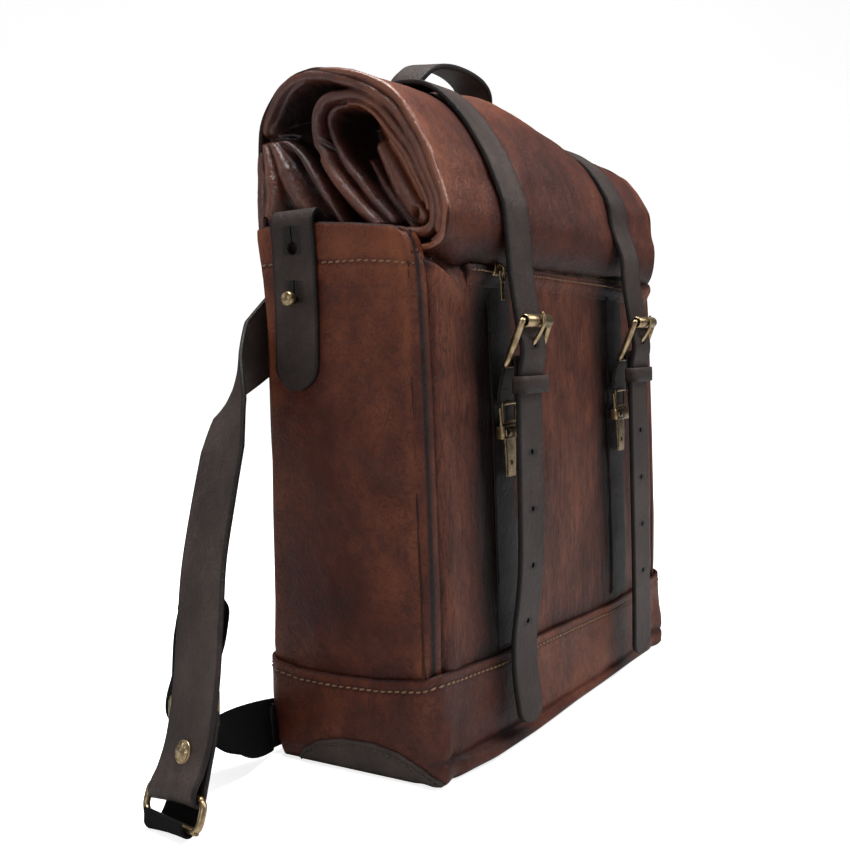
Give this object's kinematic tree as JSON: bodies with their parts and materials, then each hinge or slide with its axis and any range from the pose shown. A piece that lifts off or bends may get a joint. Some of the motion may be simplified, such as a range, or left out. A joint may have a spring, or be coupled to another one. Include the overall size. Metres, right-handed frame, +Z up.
{
  "type": "backpack",
  "caption": "Roll-top leather backpack with side pockets, buckled front straps, carrying handle and shoulder straps.",
  "frame": {"origin": "middle of the base, on the surface it stands on", "axes": "+Z up, -Y towards the bag's front with the buckles, +X to the right seen from the front"},
  "size_m": [0.5888, 0.1705, 0.4546],
  "materials": {
    "body_leather": "burnished, semi-gloss",
    "dark_leather": "matte, fine grain",
    "brass": "antiqued",
    "webbing": "woven",
    "lining_cloth": "woven cotton",
    "foam": "closed-cell padding",
    "board": "stiffener",
    "zip_cloth": "woven tape"
  },
  "bodies": {
    "bag": {"base_band": "body_leather", "base_board": "board", "front_panel": "body_leather", "back_panel": "body_leather", "back_padding": "foam", "lining": "lining_cloth", "roll_top": "body_leather", "side_patches": "dark_leather", "pocket_studs": "brass", "strap_keepers": "dark_leather", "clasp_rivets": "brass", "handle_feet": "dark_leather", "strap_ends": "dark_leather", "shoulder_yoke": "dark_leather", "webbing_anchors": "dark_leather", "zip_tape": "zip_cloth", "zip_chain": "brass", "side_gusset_left": "body_leather", "side_pocket_left": "body_leather", "tab_anchor_left": "dark_leather", "front_strap_left": "dark_leather", "anchor_strap_left": "dark_leather", "buckle_billet_left": "dark_leather", "clasp_body_left": "brass", "clasp_plate_left": "brass", "side_gusset_right": "body_leather", "side_pocket_right": "body_leather", "tab_anchor_right": "dark_leather", "front_strap_right": "dark_leather", "anchor_strap_right": "dark_leather", "buckle_billet_right": "dark_leather", "clasp_body_right": "brass", "clasp_plate_right": "brass"},
    "handle": {"handle_strap": "dark_leather"},
    "zip_slider": {"zip_slider": "brass"},
    "zip_pull": {"zip_pull": "brass"},
    "pocket_tab_left": {"pocket_tab_left": "dark_leather"},
    "strap_tail_left": {"strap_tail_left": "dark_leather"},
    "buckle_frame_left": {"buckle_frame_left": "brass"},
    "buckle_roller_left": {"buckle_roller_left": "brass"},
    "buckle_prong_left": {"buckle_prong_left": "brass"},
    "clasp_loop_left": {"clasp_loop_left": "brass"},
    "shoulder_strap_left": {"shoulder_strap_left": "dark_leather", "strap_concho_left": "brass", "webbing_left": "webbing"},
    "strap_ring_left": {"strap_ring_left": "brass"},
    "tri_glide_left": {"tri_glide_left": "brass"},
    "pocket_tab_right": {"pocket_tab_right": "dark_leather"},
    "strap_tail_right": {"strap_tail_right": "dark_leather"},
    "buckle_frame_right": {"buckle_frame_right": "brass"},
    "buckle_roller_right": {"buckle_roller_right": "brass"},
    "buckle_prong_right": {"buckle_prong_right": "brass"},
    "clasp_loop_right": {"clasp_loop_right": "brass"},
    "shoulder_strap_right": {"shoulder_strap_right": "dark_leather", "strap_concho_right": "brass", "webbing_right": "webbing"},
    "strap_ring_right": {"strap_ring_right": "brass"},
    "tri_glide_right": {"tri_glide_right": "brass"}
  },
  "joints": [
    {"name": "pocket_tab_left_fold", "type": "hinge", "parent": "bag", "child": "pocket_tab_left", "pos_m": [-0.1749, 0.0265, 0.327], "axis": [0, 1, 0], "range_deg": [0, 110]},
    {"name": "strap_tail_left_lift", "type": "hinge", "parent": "bag", "child": "strap_tail_left", "pos_m": [-0.087, -0.08, 0.2193], "axis": [-1, 0, 0], "range_deg": [0, 60]},
    {"name": "buckle_frame_left_tilt", "type": "hinge", "parent": "bag", "child": "buckle_frame_left", "pos_m": [-0.087, -0.074, 0.238], "axis": [1, 0, 0], "range_deg": [0, 12]},
    {"name": "buckle_roller_left_spin", "type": "hinge", "parent": "buckle_frame_left", "child": "buckle_roller_left", "pos_m": [-0.087, -0.086, 0.264], "axis": [1, 0, 0], "continuous": true},
    {"name": "buckle_prong_left_lift", "type": "hinge", "parent": "buckle_frame_left", "child": "buckle_prong_left", "pos_m": [-0.087, -0.074, 0.238], "axis": [1, 0, 0], "range_deg": [0, 6]},
    {"name": "clasp_loop_left_swing", "type": "hinge", "parent": "bag", "child": "clasp_loop_left", "pos_m": [-0.087, -0.066, 0.2036], "axis": [1, 0, 0], "range_deg": [0, 25]},
    {"name": "shoulder_strap_left_swing", "type": "hinge", "parent": "bag", "child": "shoulder_strap_left", "pos_m": [-0.1729, 0.064, 0.017], "axis": [-0.3107, -0.0069, -0.9505], "range_deg": [0, 35]},
    {"name": "strap_ring_left_turn", "type": "hinge", "parent": "shoulder_strap_left", "child": "strap_ring_left", "pos_m": [-0.28, 0.034, 0.021], "axis": [-0.1709, -0.9853, 0], "range_deg": [-6, 6]},
    {"name": "tri_glide_left_slide", "type": "slide", "parent": "shoulder_strap_left", "child": "tri_glide_left", "axis": [0.3249, 0.2459, 0.9132], "range_m": [-0.01, 0.01]},
    {"name": "pocket_tab_right_fold", "type": "hinge", "parent": "bag", "child": "pocket_tab_right", "pos_m": [0.1749, 0.0265, 0.327], "axis": [0, -1, 0], "range_deg": [0, 110]},
    {"name": "strap_tail_right_lift", "type": "hinge", "parent": "bag", "child": "strap_tail_right", "pos_m": [0.087, -0.08, 0.2193], "axis": [-1, 0, 0], "range_deg": [0, 60]},
    {"name": "buckle_frame_right_tilt", "type": "hinge", "parent": "bag", "child": "buckle_frame_right", "pos_m": [0.087, -0.074, 0.238], "axis": [1, 0, 0], "range_deg": [0, 12]},
    {"name": "buckle_roller_right_spin", "type": "hinge", "parent": "buckle_frame_right", "child": "buckle_roller_right", "pos_m": [0.087, -0.086, 0.264], "axis": [1, 0, 0], "continuous": true},
    {"name": "buckle_prong_right_lift", "type": "hinge", "parent": "buckle_frame_right", "child": "buckle_prong_right", "pos_m": [0.087, -0.074, 0.238], "axis": [1, 0, 0], "range_deg": [0, 6]},
    {"name": "clasp_loop_right_swing", "type": "hinge", "parent": "bag", "child": "clasp_loop_right", "pos_m": [0.087, -0.066, 0.2036], "axis": [1, 0, 0], "range_deg": [0, 25]},
    {"name": "shoulder_strap_right_swing", "type": "hinge", "parent": "bag", "child": "shoulder_strap_right", "pos_m": [0.1729, 0.064, 0.017], "axis": [-0.3107, 0.0069, 0.9505], "range_deg": [0, 35]},
    {"name": "strap_ring_right_turn", "type": "hinge", "parent": "shoulder_strap_right", "child": "strap_ring_right", "pos_m": [0.28, 0.034, 0.021], "axis": [0.1709, -0.9853, 0], "range_deg": [-6, 6]},
    {"name": "tri_glide_right_slide", "type": "slide", "parent": "shoulder_strap_right", "child": "tri_glide_right", "axis": [-0.3249, 0.2459, 0.9132], "range_m": [-0.01, 0.01]},
    {"name": "handle_swing", "type": "hinge", "parent": "bag", "child": "handle", "pos_m": [0, 0.066, 0.373], "axis": [1, 0, 0], "range_deg": [-100, 3]},
    {"name": "zip_slide", "type": "slide", "parent": "bag", "child": "zip_slider", "axis": [1, 0, 0], "range_m": [-0.028, 0.214]},
    {"name": "zip_pull_swing", "type": "hinge", "parent": "zip_slider", "child": "zip_pull", "pos_m": [-0.093, -0.0666, 0.2938], "axis": [-1, 0, 0], "range_deg": [0, 12]}
  ]
}
